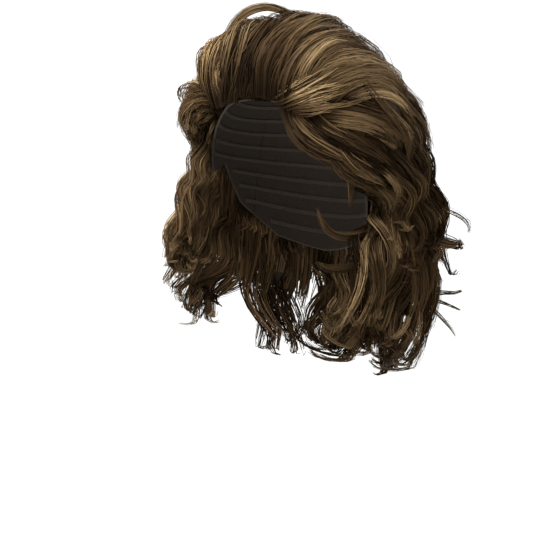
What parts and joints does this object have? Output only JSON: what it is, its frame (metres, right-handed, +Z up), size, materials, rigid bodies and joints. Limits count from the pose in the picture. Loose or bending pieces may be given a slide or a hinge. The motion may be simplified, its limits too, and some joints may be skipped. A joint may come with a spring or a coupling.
{
  "type": "long wavy layered wig",
  "caption": "Long layered wavy wig in dark brown with ash-blonde highlights, swept up and back from the forehead over a thin stretch cap and falling to the shoulders.",
  "frame": {"origin": "inside of the cap at its highest point, where the wig sits on the head", "axes": "+Z up out of the head, -Y towards the face, +X towards the wearer's left"},
  "size_m": [0.3059, 0.2671, 0.3633],
  "materials": {
    "cap": "dark stretch net with sewn weft bands",
    "hair": "glossy synthetic fibre, dark brown with ash-blonde highlights"
  },
  "bodies": {
    "root": {"cap_crown": "cap", "cap_front": "cap", "cap_left_side": "cap", "cap_right_side": "cap", "cap_nape": "cap", "front_hair": "hair", "crown_hair": "hair", "left_side_hair": "hair", "right_side_hair": "hair", "nape_hair": "hair"}
  },
  "joints": []
}
